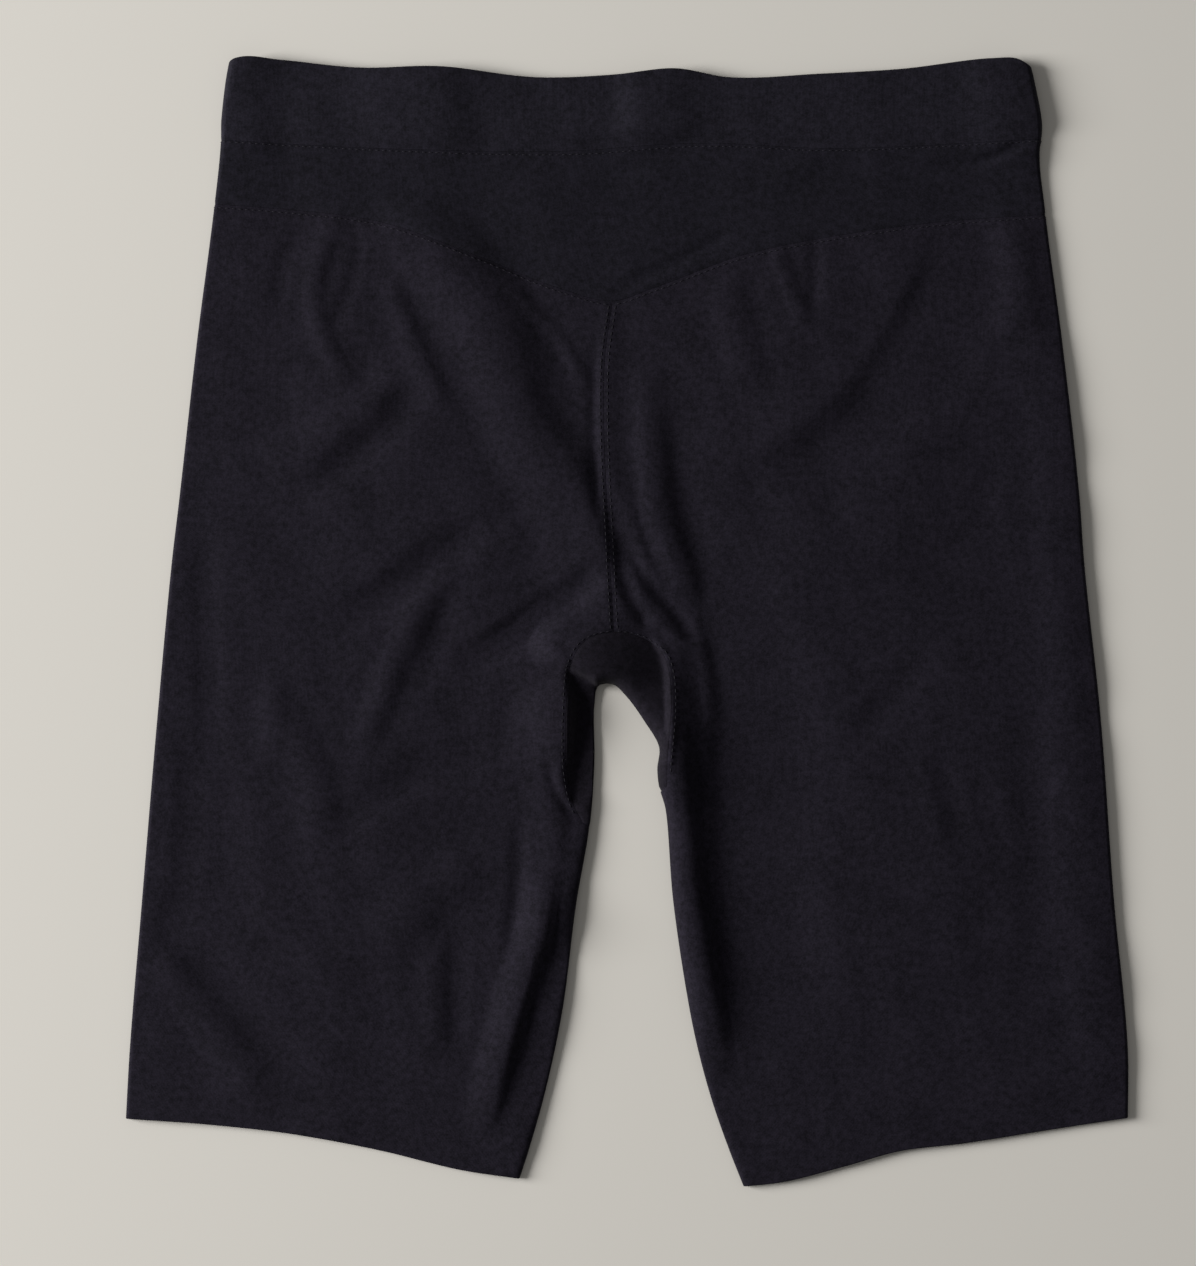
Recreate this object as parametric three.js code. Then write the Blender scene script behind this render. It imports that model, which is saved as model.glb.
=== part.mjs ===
// Training shorts of black stretch knit, laid flat with the back up, in millimetres.
// +X is to the right, +Y is towards the waist, +Z is up, and the origin is at the middle of the underside.
// The front lies flat on the surface and the back lies on it. The cloth turns over at the sides, the inner
// legs and the crotch, and it is open at the waist and at both hems.
// A place in a table is on the middle of the cloth: x across, and down from the top of the waist.
import * as THREE from "three";

// Driving sizes.
const LENGTH = 507.6; // top of the waist to the lowest hem corner
const CLOTH = 1.2; // wall of the legs, the yoke and the gusset
const BAND_CLOTH = 2; // wall of the waistband, two layers of knit round an elastic
const AIR = 1.8; // between the front and the back where they lie flat
const LEAST_AIR = 0.4; // between them at the bottom of a trough
const SEAM_GAP = 0.3; // between the cut edges of two sewn pieces
const TIGHTEST = 0.6; // of its wall, the radius that the middle of the cloth turns with at an edge
const UNDER_LEAST = 0.6; // the cloth's turn under an edge: this, and a share of the roll over it
const UNDER_SHARE = 0.15;
const SEAM_REACH = 12; // the stretch beside a seam that gets closer columns
const EDGE_REACH = 16; // and the stretch beside the inner edge of a closed leg
const NEAR = 0.5; // half the step that a slope is measured over
const WING_SHARE = 0.96; // of the gusset's seam on a leg, where the leg starts to close
const TIP_SHARE = 0.94; // of the same seam, where the gusset's tip is cut off
const EDGE_LEAD = 1.035; // how much farther than its seams the gusset's tip reaches along the edge
const CLOSING = 3; // along the inner edge, from the wing's share to the first row of the closed leg

// How finely the walls are cut into faces.
const ROLL_STEPS = 4; // over an edge
const UNDER_STEPS = 2; // under an edge
const BACK_STEPS = 18; // across the back of one leg
const FRONT_STEPS = 5; // across the front of one leg
const CROWDING = 1.5; // over 1, the back's columns crowd towards the inner leg
const SEAT_ROWS = 10; // yoke to gusset
const GUSSET_ROWS = 12; // gusset's top to its tip
const LEG_ROWS = 8; // gusset's tip to the hem
const BAND_ROWS = 3;
const YOKE_ROWS = 4;
const EDGE_SAMPLES = 160;
const FOLD_SAMPLES = 14;

// The side edges, with the width of the roll where the back turns over them.
const SIDES = [
  { down: 0, left: -177.5, right: 179.5, roll: 6 },
  { down: 10, left: -179.4, right: 182.1, roll: 6 },
  { down: 37, left: -182.2, right: 186, roll: 5 },
  { down: 41, left: -182.4, right: 185.2, roll: 5 },
  { down: 68, left: -185.3, right: 187.5, roll: 4 },
  { down: 127, left: -192.9, right: 195.2, roll: 4 },
  { down: 199, left: -201, right: 203.2, roll: 4 },
  { down: 226, left: -204.2, right: 205.1, roll: 4 },
  { down: 298, left: -210.9, right: 212.7, roll: 4 },
  { down: 379, left: -217.7, right: 218.6, roll: 4 },
  { down: 446, left: -223.2, right: 224.8, roll: 4 },
  { down: 480, left: -225.1, right: 224.8, roll: 4 },
];

// The inner edge, from the left hem up round the crotch and down to the right hem.
const INNER_EDGE = [
  { x: -48.5, down: 504, roll: 4 },
  { x: -44.3, down: 491, roll: 4 },
  { x: -38, down: 469, roll: 5 },
  { x: -32.6, down: 446, roll: 6 },
  { x: -28.5, down: 424, roll: 7 },
  { x: -23.1, down: 381, roll: 8 },
  { x: -17.3, down: 347, roll: 8, at: "left tip" },
  { x: -15, down: 318, roll: 7 },
  { x: -15, down: 291, roll: 6 },
  { x: -13.2, down: 282.4, roll: 5 },
  { x: -6.4, down: 281.4, roll: 5, at: "crotch" },
  { x: 0, down: 287, roll: 5 },
  { x: 8, down: 298, roll: 5 },
  { x: 14.8, down: 310, roll: 5 },
  { x: 14, down: 320, roll: 5 },
  { x: 15, down: 329, roll: 5, at: "right tip" },
  { x: 17.5, down: 338, roll: 6 },
  { x: 20.9, down: 379, roll: 7 },
  { x: 27.6, down: 424, roll: 7 },
  { x: 32.1, down: 446, roll: 6 },
  { x: 38.4, down: 469, roll: 5 },
  { x: 46.1, down: 491, roll: 4 },
  { x: 52.6, down: 507.5, roll: 4 },
];

// The lines across the garment that its pieces are cut to.
const WAIST = [
  { x: -181, down: 4 },
  { x: -175, down: 0.6 },
  { x: -156, down: 1.4 },
  { x: -120, down: 4.9 },
  { x: -84, down: 4.5 },
  { x: -40, down: 9.2 },
  { x: -3, down: 7.8 },
  { x: 22, down: 5.4 },
  { x: 46, down: 9.2 },
  { x: 87, down: 7.6 },
  { x: 123, down: 5.4 },
  { x: 165, down: 0.7 },
  { x: 176, down: 1.2 },
  { x: 183, down: 6 },
];
const BAND_SEAM = [
  { x: -183, down: 37.4 },
  { x: -102, down: 41.4 },
  { x: -30, down: 42.3 },
  { x: 33, down: 38.6 },
  { x: 91, down: 41 },
  { x: 187, down: 36.9 },
];
const YOKE_BACK = [
  { x: -186, down: 66 },
  { x: -147, down: 69 },
  { x: -111, down: 74 },
  { x: -66, down: 90 },
  { x: -30, down: 104 },
  { x: -6.5, down: 109.5 },
  { x: 12.6, down: 103.5 },
  { x: 50, down: 89.6 },
  { x: 84, down: 82 },
  { x: 138, down: 74.3 },
  { x: 188, down: 70.7 },
];
const YOKE_FRONT = [
  { x: -186, down: 66 },
  { x: -90, down: 76 },
  { x: 0, down: 80 },
  { x: 90, down: 78 },
  { x: 188, down: 70.7 },
];
const HEM = {
  left: [
    { x: -226, down: 477 },
    { x: -190, down: 479.5 },
    { x: -150, down: 484 },
    { x: -110, down: 491.5 },
    { x: -75, down: 500 },
    { x: -48.5, down: 504 },
  ],
  right: [
    { x: 52.6, down: 507.5 },
    { x: 70, down: 505.5 },
    { x: 96, down: 499 },
    { x: 123, down: 491.5 },
    { x: 150, down: 488.3 },
    { x: 190, down: 482 },
    { x: 226, down: 476.5 },
  ],
};

// The middle lines, from the waist to the gusset.
const MIDDLE = {
  back: [
    { x: 0.5, down: 0 },
    { x: 0, down: 42 },
    { x: -6.5, down: 109.5 },
    { x: -9.9, down: 135 },
    { x: -10.3, down: 165 },
    { x: -8.6, down: 208 },
    { x: -5.9, down: 258.3 },
  ],
  front: [
    { x: 0, down: 0 },
    { x: 0, down: 80 },
    { x: -3, down: 160 },
    { x: -4, down: 246 },
  ],
};

// The gusset's seams, from its top on the middle line to its tip on each leg.
const GUSSET_SEAM = {
  left: {
    back: [
      { x: -5.9, down: 258.3 },
      { x: -13, down: 259.6 },
      { x: -20, down: 263.5 },
      { x: -25.7, down: 273.2 },
      { x: -31.5, down: 289 },
      { x: -34, down: 306 },
      { x: -32.6, down: 322.5 },
      { x: -27.5, down: 336 },
      { x: -18, down: 347 },
    ],
    front: [
      { x: -4, down: 246 },
      { x: -18, down: 254 },
      { x: -28, down: 270 },
      { x: -33, down: 292 },
      { x: -30, down: 322 },
      { x: -18, down: 347 },
    ],
  },
  right: {
    back: [
      { x: -5.9, down: 258.3 },
      { x: 2, down: 259.3 },
      { x: 10, down: 262.7 },
      { x: 16.2, down: 268 },
      { x: 19.2, down: 277 },
      { x: 20, down: 292 },
      { x: 19, down: 306 },
      { x: 18, down: 318 },
      { x: 18, down: 332 },
    ],
    front: [
      { x: -4, down: 246 },
      { x: 12, down: 254 },
      { x: 23, down: 270 },
      { x: 29, down: 292 },
      { x: 27, down: 315 },
      { x: 18.6, down: 332 },
    ],
  },
};

// Where a row of the leg meets the side edge, beside the gusset's top and its tip.
const SIDE_DOWN = { gussetTop: 205, gussetTip: 322 };

// The largest folds of the back, broad swells first, then ridges and troughs. A trough's rise is below zero.
// Each point of a path is [x, down], and left and right are from the path to the fold's foot on either side,
// for someone who goes along it.
const FOLDS = [
  { name: "seat left", rise: 3, left: 75, right: 75, path: [[-105, 130], [-80, 235]] },
  { name: "seat right", rise: 3, left: 75, right: 75, path: [[95, 140], [90, 235]] },
  { name: "seat middle", rise: 2, left: 42, right: 42, path: [[-9, 170], [-5, 250]] },
  { name: "thigh left", rise: 1.5, left: 62, right: 62, path: [[-115, 290], [-130, 420]] },
  { name: "thigh right", rise: 1.5, left: 62, right: 62, path: [[120, 290], [130, 420]] },
  { name: "left inner ridge", rise: 6.5, left: 11, right: 18,
    path: [[-15, 242], [-27, 264], [-30, 290], [-30, 320], [-32, 350], [-41, 410], [-56, 474]] },
  { name: "right inner roll", rise: 3, left: 10, right: 10,
    path: [[20, 300], [23, 334], [28, 379], [35, 424], [45, 466]] },
  { name: "right inner ridge", rise: 3.5, left: 9, right: 8,
    path: [[-1, 186], [18, 226], [32, 262], [37, 292], [38, 335]] },
  { name: "right inner trough", rise: -2.5, left: 6, right: 7,
    path: [[-4, 200], [9, 240], [26, 268], [30, 316], [35, 379], [43, 433]] },
  { name: "right outer trough", rise: -2, left: 10, right: 7,
    path: [[8, 180], [25, 220], [41, 258], [47, 300], [47, 350]] },
  { name: "left waist trough", rise: -2.5, left: 11, right: 11, path: [[-57, 94], [-32, 136], [-18, 185], [-11, 222]] },
  { name: "left waist ridge", rise: 2, left: 14, right: 18, path: [[-86, 88], [-64, 130], [-36, 176], [-18, 212]] },
  { name: "left crotch trough", rise: -2.5, left: 11, right: 11, path: [[-22, 228], [-40, 254], [-62, 275]] },
  { name: "left seat trough", rise: -1.6, left: 9, right: 9, path: [[-112, 77], [-115, 98], [-128, 124]] },
  { name: "left seat ridge", rise: 1.5, left: 10, right: 10, path: [[-133, 84], [-140, 124]] },
  { name: "left thigh trough", rise: -1.6, left: 14, right: 14, path: [[-54, 212], [-84, 239], [-118, 268]] },
  { name: "right seat trough", rise: -2.2, left: 17, right: 17, path: [[142, 92], [134, 120], [102, 160], [60, 198]] },
  { name: "right side ridge", rise: 1.5, left: 14, right: 14, path: [[180, 100], [194, 240], [206, 380], [211, 452]] },
  { name: "band left end", rise: 2, left: 15, right: 15, path: [[-174, -6], [-178, 48]] },
  { name: "band middle", rise: 1.2, left: 20, right: 20, path: [[0, -4], [-2, 44]] },
  { name: "band right end", rise: 2.5, left: 16, right: 16, path: [[174, -6], [180, 52]] },
];

// Cubic through a table's rows, at a place along one column.
function along(rows, key, column, place) {
  let i = 0;
  while (i < rows.length - 2 && rows[i + 1][key] < place) i++;
  const slope = (a, b) => (rows[b][column] - rows[a][column]) / (rows[b][key] - rows[a][key]);
  const step = rows[i + 1][key] - rows[i][key];
  const t = THREE.MathUtils.clamp((place - rows[i][key]) / step, 0, 1);
  const middle = slope(i, i + 1);
  const first = i > 0 ? (slope(i - 1, i) + middle) / 2 : middle;
  const last = i < rows.length - 2 ? (middle + slope(i + 1, i + 2)) / 2 : middle;
  const start = rows[i][column];
  const rise = rows[i + 1][column] - start;
  const bend = t * (1 - t) * ((first * step - rise) * (1 - t) - (last * step - rise) * t);
  return start + rise * t + bend;
}

const lineDown = (rows, x) => along(rows, "x", "down", x);
const sideX = (side, down) => along(SIDES, "down", side, down);
const curveOf = (points) => new THREE.CatmullRomCurve3(points, false, "centripetal");
const planCurve = (rows) => curveOf(rows.map((r) => new THREE.Vector3(r.x, r.down, r.roll ?? 0)));

// The three edges that the cloth turns over, as runs of points: x, down and the roll.
const innerCurve = planCurve(INNER_EDGE);
const innerShare = (name) => INNER_EDGE.findIndex((r) => r.at === name) / (INNER_EDGE.length - 1);
const sideRun = (side) =>
  Array.from({ length: EDGE_SAMPLES + 1 }, (_, i) => {
    const down = (LENGTH * i) / EDGE_SAMPLES;
    return new THREE.Vector3(sideX(side, down), down, along(SIDES, "down", "roll", down));
  });
const EDGES = [
  { run: sideRun("left"), inward: -1 },
  { run: sideRun("right"), inward: 1 },
  { run: innerCurve.getPoints(EDGE_SAMPLES), inward: -1 },
];

// The nearest edge's distance, its roll, and the direction away from it, into the cloth.
function nearestEdge(x, down) {
  let best = { distance: Infinity };
  for (const { run, inward } of EDGES) {
    for (let i = 0; i < run.length - 1; i++) {
      const a = run[i];
      const dx = run[i + 1].x - a.x;
      const dy = run[i + 1].y - a.y;
      const square = dx * dx + dy * dy;
      const t = THREE.MathUtils.clamp(((x - a.x) * dx + (down - a.y) * dy) / square, 0, 1);
      const distance = Math.hypot(x - a.x - dx * t, down - a.y - dy * t);
      if (distance < best.distance) {
        const size = Math.sqrt(square) * inward;
        const roll = THREE.MathUtils.lerp(a.z, run[i + 1].z, t);
        best = { distance, roll, awayX: -dy / size, awayDown: dx / size };
      }
    }
  }
  return best;
}

// Each fold's middle line, sampled once.
const FOLD_LINES = FOLDS.map(({ path, rise, left, right }) => ({
  rise,
  left,
  right,
  line: curveOf(path.map(([x, down]) => new THREE.Vector3(x, down, 0))).getPoints(FOLD_SAMPLES),
}));

// A fold's height: a smooth bell across it that fades out towards both of its ends.
function foldHeight({ line, rise, left, right }, x, down) {
  let least = Infinity;
  let share = 0;
  let side = 0;
  for (let i = 0; i < line.length - 1; i++) {
    const dx = line[i + 1].x - line[i].x;
    const dy = line[i + 1].y - line[i].y;
    const awayX = x - line[i].x;
    const awayDown = down - line[i].y;
    const held = THREE.MathUtils.clamp((awayX * dx + awayDown * dy) / (dx * dx + dy * dy), 0, 1);
    const distance = Math.hypot(awayX - dx * held, awayDown - dy * held);
    if (distance < least) {
      least = distance;
      share = (i + held) / (line.length - 1);
      side = distance > 0 ? (awayX * dy - awayDown * dx) / (Math.hypot(dx, dy) * distance) : 0;
    }
  }
  const reach = THREE.MathUtils.lerp(right, left, (1 + side) / 2);
  if (least >= reach) return 0;
  const across = (1 - (least / reach) ** 2) ** 2;
  const fade = THREE.MathUtils.smoothstep(Math.min(share, 1 - share), -0.12, 0.18);
  return rise * across * fade;
}

// How high the middle of the back's cloth lies, away from the edges.
function backHeight(x, down, wall) {
  const least = 1.5 * wall + LEAST_AIR;
  const flat = 1.5 * wall + AIR;
  const sum = FOLD_LINES.reduce((total, fold) => total + foldHeight(fold, x, down), flat);
  const over = sum - least;
  return least + (over + Math.hypot(over, AIR - LEAST_AIR)) / 2;
}

// The same, and beside an edge the height at the roll's shoulder, where the roll ends.
function shoulderHeight(x, down, wall) {
  const edge = nearestEdge(x, down);
  const short = Math.max(0, edge.roll - edge.distance);
  return backHeight(x + edge.awayX * short, down + edge.awayDown * short, wall);
}

// The point of the cloth's middle at a place on the back, on the front or on an edge, and its outward normal.
function place({ x, down, layer }, wall) {
  const edge = nearestEdge(x, down);
  const under = UNDER_LEAST + UNDER_SHARE * edge.roll;
  const equator = wall / 2 + under;
  const point = new THREE.Vector3(x, LENGTH / 2 - down, equator);
  const out = new THREE.Vector3(-edge.awayX, edge.awayDown, 0);
  if (layer === "edge") return { point, normal: out };
  const height = shoulderHeight(x, down, wall);
  const roll = layer === "front" ? under : Math.min(edge.roll, (height - equator) ** 2 / (TIGHTEST * wall));
  const cos = 1 - Math.min(1, edge.distance / roll);
  const sin = Math.sqrt(1 - cos * cos);
  if (layer === "front") {
    point.z = wall / 2 + under * (1 - sin);
    return { point, normal: out.multiplyScalar(cos).add(new THREE.Vector3(0, 0, -sin)) };
  }
  const slopeX = (shoulderHeight(x + NEAR, down, wall) - shoulderHeight(x - NEAR, down, wall)) / (2 * NEAR);
  const slopeDown = (shoulderHeight(x, down + NEAR, wall) - shoulderHeight(x, down - NEAR, wall)) / (2 * NEAR);
  point.z = equator + (height - equator) * sin;
  const lean = new THREE.Vector3(-slopeX, slopeDown, 0).multiplyScalar(roll * sin * sin);
  const normal = out.multiplyScalar((height - equator) * cos).add(lean);
  normal.z = roll * sin;
  return { point, normal: normal.normalize() };
}

// Shares along a line, from 0 to 1, with closer steps over a roll at each end.
function shares(length, head, headSteps, tail, tailSteps, steps, crowding) {
  const first = Math.min(head / length, 0.3);
  const last = Math.min(tail / length, 0.3);
  const turn = (i, n) => 1 - Math.cos((i / n) * (Math.PI / 2));
  const found = [];
  for (let i = 0; i < headSteps; i++) found.push(first * turn(i, headSteps));
  for (let i = 0; i <= steps; i++) found.push(first + (1 - first - last) * (i / steps) ** crowding);
  for (let i = tailSteps - 1; i >= 0; i--) found.push(1 - last * turn(i, tailSteps));
  return found;
}

const planDistance = (a, b) => Math.hypot(a.x - b.x, a.down - b.down);
const rollAt = (p) => nearestEdge(p.x, p.down).roll;
const underAt = (p) => UNDER_LEAST + UNDER_SHARE * rollAt(p);
const across = (a, b, share) => THREE.MathUtils.lerp(a, b, share);

// One side's half of a row: from its inner end on the back, out over the side edge, to its inner end
// on the front. A row says its two inner ends, its outer end, and the line's down at each share.
function halfRow({ back, front, outer, backLine, frontLine, closed }) {
  const backHead = closed ? EDGE_REACH : SEAM_REACH;
  const frontHead = closed ? underAt(front) : SEAM_REACH;
  const backShares = shares(planDistance(back, outer), backHead, ROLL_STEPS,
    rollAt(outer), ROLL_STEPS, BACK_STEPS, CROWDING);
  const frontShares = shares(planDistance(front, outer), frontHead, UNDER_STEPS,
    underAt(outer), UNDER_STEPS, FRONT_STEPS, 1);
  const spot = (inner, line, layer) => (share) => {
    const x = across(inner.x, outer.x, share);
    return { x, down: line(share, x), layer };
  };
  const row = [
    ...backShares.map(spot(back, backLine, "back")),
    ...frontShares.slice(0, -1).map(spot(front, frontLine, "front")).reverse(),
  ];
  row[backShares.length - 1].layer = "edge";
  if (closed) row[0].layer = row[row.length - 1].layer = "edge";
  return row;
}

// Half a row of the waistband or the yoke, a share of the way between two lines on each layer.
function bandHalf(side, share, top, low) {
  const downAt = (layer) => (x) => across(lineDown(top[layer], x), lineDown(low[layer], x), share);
  const middle = (layer) => {
    let x = 0;
    for (let i = 0; i < 4; i++) x = along(MIDDLE[layer], "down", "x", downAt(layer)(x));
    return { x, down: downAt(layer)(x) };
  };
  let x = sideX(side, downAt("back")(SIDES[0][side]));
  for (let i = 0; i < 4; i++) x = sideX(side, downAt("back")(x));
  return halfRow({
    back: middle("back"),
    front: middle("front"),
    outer: { x, down: downAt("back")(x) },
    backLine: (_, at) => downAt("back")(at),
    frontLine: (_, at) => downAt("front")(at),
  });
}

// A loop of cloth between two lines, sewn up at the middle of the front.
function loopRows(count, top, low) {
  return Array.from({ length: count + 1 }, (_, i) => [
    ...bandHalf("left", i / count, top, low).reverse(),
    ...bandHalf("right", i / count, top, low).slice(1),
  ]);
}

// The gusset's seam on one leg and layer, from its top to a share near its tip.
const seamShare = (i, end) => Math.min((WING_SHARE * i) / GUSSET_ROWS, end);
function seamPoints(side, layer, end) {
  const curve = planCurve(GUSSET_SEAM[side][layer]);
  return Array.from({ length: GUSSET_ROWS + 1 }, (_, i) => {
    const p = curve.getPoint(seamShare(i, end));
    return { x: p.x, down: p.y };
  });
}

// The inner edge's place beside a share of the gusset's seam, and the place where the leg is closed.
const wingShare = (side, share) => across(innerShare("crotch"), innerShare(`${side} tip`), share);
function closedShare(side) {
  const tip = wingShare(side, WING_SHARE);
  const step = side === "left" ? -0.001 : 0.001;
  return tip + (step * CLOSING) / innerCurve.getPoint(tip).distanceTo(innerCurve.getPoint(tip + step));
}

// The inner ends of a leg's rows on one layer: down the middle seam, the gusset's seam and the inner edge.
function innerEnds(side, layer) {
  const top = lineDown(layer === "back" ? YOKE_BACK : YOKE_FRONT, MIDDLE[layer][2].x);
  const seat = Array.from({ length: SEAT_ROWS }, (_, i) => {
    const down = across(top, MIDDLE[layer].at(-1).down, i / SEAT_ROWS);
    return { x: along(MIDDLE[layer], "down", "x", down), down };
  });
  const seam = seamPoints(side, layer, WING_SHARE);
  const start = closedShare(side);
  const end = side === "left" ? 0 : 1;
  const inner = Array.from({ length: LEG_ROWS + 1 }, (_, i) => {
    const p = innerCurve.getPoint(across(start, end, i / LEG_ROWS));
    return { x: p.x, down: p.y, closed: true };
  });
  return [...seat, ...seam, ...inner];
}

// The rows of a leg. Its top row follows the yoke's seam, its last row the hem, and the rest ease between.
function legRows(side) {
  const back = innerEnds(side, "back");
  const front = innerEnds(side, "front");
  const yokeX = sideX(side, lineDown(YOKE_BACK, sideX(side, SIDES[4].down)));
  const sideDowns = [lineDown(YOKE_BACK, yokeX), SIDE_DOWN.gussetTop, SIDE_DOWN.gussetTip];
  const hemX = sideX(side, lineDown(HEM[side], sideX(side, LENGTH)));
  sideDowns.push(lineDown(HEM[side], hemX));
  const outerDown = (i) => {
    if (i <= SEAT_ROWS) return across(sideDowns[0], sideDowns[1], i / SEAT_ROWS);
    if (i <= SEAT_ROWS + GUSSET_ROWS) return across(sideDowns[1], sideDowns[2], (i - SEAT_ROWS) / GUSSET_ROWS);
    return across(sideDowns[2], sideDowns[3], (i - SEAT_ROWS - GUSSET_ROWS) / (LEG_ROWS + 1));
  };
  const ends = back.map((_, i) => ({ x: sideX(side, outerDown(i)), down: outerDown(i) }));
  const last = back.length - 1;
  const lineOf = (inner, yoke, i) => {
    const done = (inner[i].down - inner[0].down) / (inner[last].down - inner[0].down);
    const stray = (rows, k, share) => {
      const x = across(inner[k].x, ends[k].x, share);
      return lineDown(rows, x) - across(inner[k].down, ends[k].down, share);
    };
    return (share) =>
      across(inner[i].down, ends[i].down, share) +
      stray(yoke, 0, share) * (1 - done) ** 2 +
      stray(HEM[side], last, share) * done ** 2;
  };
  return back.map((end, i) =>
    halfRow({
      back: end,
      front: front[i],
      outer: ends[i],
      backLine: lineOf(back, YOKE_BACK, i),
      frontLine: lineOf(front, YOKE_FRONT, i),
      closed: end.closed,
    }),
  );
}

// The gusset's rows, from the left tip over the crotch to the right tip: each goes from the back's seam
// over the inner edge to the front's seam.
function gussetRows() {
  const half = (side) => {
    const front = seamPoints(side, "front", TIP_SHARE);
    return seamPoints(side, "back", TIP_SHARE).map((back, i) => {
      const at = innerCurve.getPoint(wingShare(side, EDGE_LEAD * seamShare(i, TIP_SHARE)));
      return gussetRow(back, { x: at.x, down: at.y }, front[i]);
    });
  };
  return [...half("left").reverse(), ...half("right").slice(1)];
}

function gussetRow(back, edge, front) {
  const part = (end, roll, steps, flats, layer) =>
    shares(planDistance(edge, end), roll, steps, 0, 0, flats, 1).map((share) => ({
      x: across(edge.x, end.x, share),
      down: across(edge.down, end.down, share),
      layer,
    }));
  const over = part(back, rollAt(edge), ROLL_STEPS, 3, "back").reverse();
  const under = part(front, underAt(edge), UNDER_STEPS, 3, "front");
  return [...over.slice(0, -1), { ...edge, layer: "edge" }, ...under.slice(1)];
}

// Pulls the borders of a grid of points back along the cloth, each by its own distance.
function trimmed(grid, { firstRow, lastRow, rowEnds }) {
  const rows = grid.length;
  const columns = grid[0].length;
  const moves = [];
  const pull = (i, j, distance, alongRow) => {
    const clampI = (k) => Math.min(Math.max(k, 0), rows - 1);
    const clampJ = (k) => Math.min(Math.max(k, 0), columns - 1);
    const at = (a, b) => grid[clampI(a)][clampJ(b)].point;
    const border = alongRow ? at(i, j + 1).clone().sub(at(i, j - 1)) : at(i + 1, j).clone().sub(at(i - 1, j));
    const inside = alongRow ? at(i === 0 ? 1 : i - 1, j) : at(i, j === 0 ? 1 : j - 1);
    const move = grid[i][j].normal.clone().cross(border).normalize();
    if (move.dot(inside.clone().sub(grid[i][j].point)) < 0) move.negate();
    moves.push([grid[i][j].point, move.multiplyScalar(distance)]);
  };
  for (let j = 0; j < columns; j++) {
    pull(0, j, firstRow, true);
    pull(rows - 1, j, lastRow, true);
  }
  for (let i = 0; i < rows; i++) {
    pull(i, 0, rowEnds, false);
    pull(i, columns - 1, rowEnds, false);
  }
  for (const [point, move] of moves) point.add(move);
  return grid;
}

// A closed wall round a grid of points, half its thickness on each side of them.
function wallGeometry(grid, wall) {
  const rows = grid.length;
  const columns = grid[0].length;
  const faces = [-1, 1].map((side) =>
    grid.map((row) => row.map(({ point, normal }) => point.clone().addScaledVector(normal, (side * wall) / 2))),
  );
  const positions = faces.flat(2).flatMap((p) => p.toArray());
  const id = (face, i, j) => (face * rows + i) * columns + j;
  const index = [];
  const corner = (k) => new THREE.Vector3().fromArray(positions, 3 * k);
  const quad = (a, b, c, d) => {
    const split = corner(b).distanceTo(corner(d)) < corner(a).distanceTo(corner(c));
    index.push(...(split ? [b, c, d, b, d, a] : [a, b, c, a, c, d]));
  };
  for (let i = 0; i < rows - 1; i++) {
    for (let j = 0; j < columns - 1; j++) {
      quad(id(1, i, j), id(1, i + 1, j), id(1, i + 1, j + 1), id(1, i, j + 1));
      quad(id(0, i, j + 1), id(0, i + 1, j + 1), id(0, i + 1, j), id(0, i, j));
    }
  }
  for (let i = 0; i < rows - 1; i++) {
    quad(id(0, i, 0), id(0, i + 1, 0), id(1, i + 1, 0), id(1, i, 0));
    quad(id(1, i, columns - 1), id(1, i + 1, columns - 1), id(0, i + 1, columns - 1), id(0, i, columns - 1));
  }
  for (let j = 0; j < columns - 1; j++) {
    quad(id(1, 0, j), id(1, 0, j + 1), id(0, 0, j + 1), id(0, 0, j));
    quad(id(0, rows - 1, j), id(0, rows - 1, j + 1), id(1, rows - 1, j + 1), id(1, rows - 1, j));
  }
  const geometry = new THREE.BufferGeometry();
  geometry.setAttribute("position", new THREE.Float32BufferAttribute(positions, 3));
  geometry.setIndex(facingOut(positions, index));
  geometry.computeVertexNormals();
  return geometry;
}

// The faces, turned round if they would enclose a volume below zero.
function facingOut(positions, index) {
  const corner = (k) => new THREE.Vector3().fromArray(positions, 3 * index[k]);
  let volume = 0;
  for (let k = 0; k < index.length; k += 3) {
    volume += corner(k).dot(corner(k + 1).cross(corner(k + 2)));
  }
  return volume < 0 ? index.slice().reverse() : index;
}

const KNIT = { color: 0x1c1a20, roughness: 0.86, metalness: 0 };
const ELASTIC = { color: 0x1d1c21, roughness: 0.8, metalness: 0 };

function sewnPiece(name, rows, wall, trim, look) {
  const grid = trimmed(rows.map((row) => row.map((spot) => place(spot, wall))), trim);
  const mesh = new THREE.Mesh(wallGeometry(grid, wall), new THREE.MeshStandardMaterial(look));
  mesh.name = name;
  return mesh;
}

const lines = (back, front = back) => ({ back, front });
const sewn = SEAM_GAP / 2;
const legTrim = { firstRow: sewn, lastRow: 0, rowEnds: sewn };
const shorts = new THREE.Group();
shorts.add(
  sewnPiece("waistband", loopRows(BAND_ROWS, lines(WAIST), lines(BAND_SEAM)), BAND_CLOTH,
    { firstRow: 0, lastRow: sewn, rowEnds: sewn }, ELASTIC),
  sewnPiece("yoke", loopRows(YOKE_ROWS, lines(BAND_SEAM), lines(YOKE_BACK, YOKE_FRONT)), CLOTH,
    { firstRow: sewn, lastRow: sewn, rowEnds: sewn }, KNIT),
  sewnPiece("leg_left", legRows("left"), CLOTH, legTrim, KNIT),
  sewnPiece("leg_right", legRows("right"), CLOTH, legTrim, KNIT),
  sewnPiece("gusset", gussetRows(), CLOTH, { firstRow: 0, lastRow: 0, rowEnds: sewn }, KNIT),
);

export default shorts;
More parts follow.
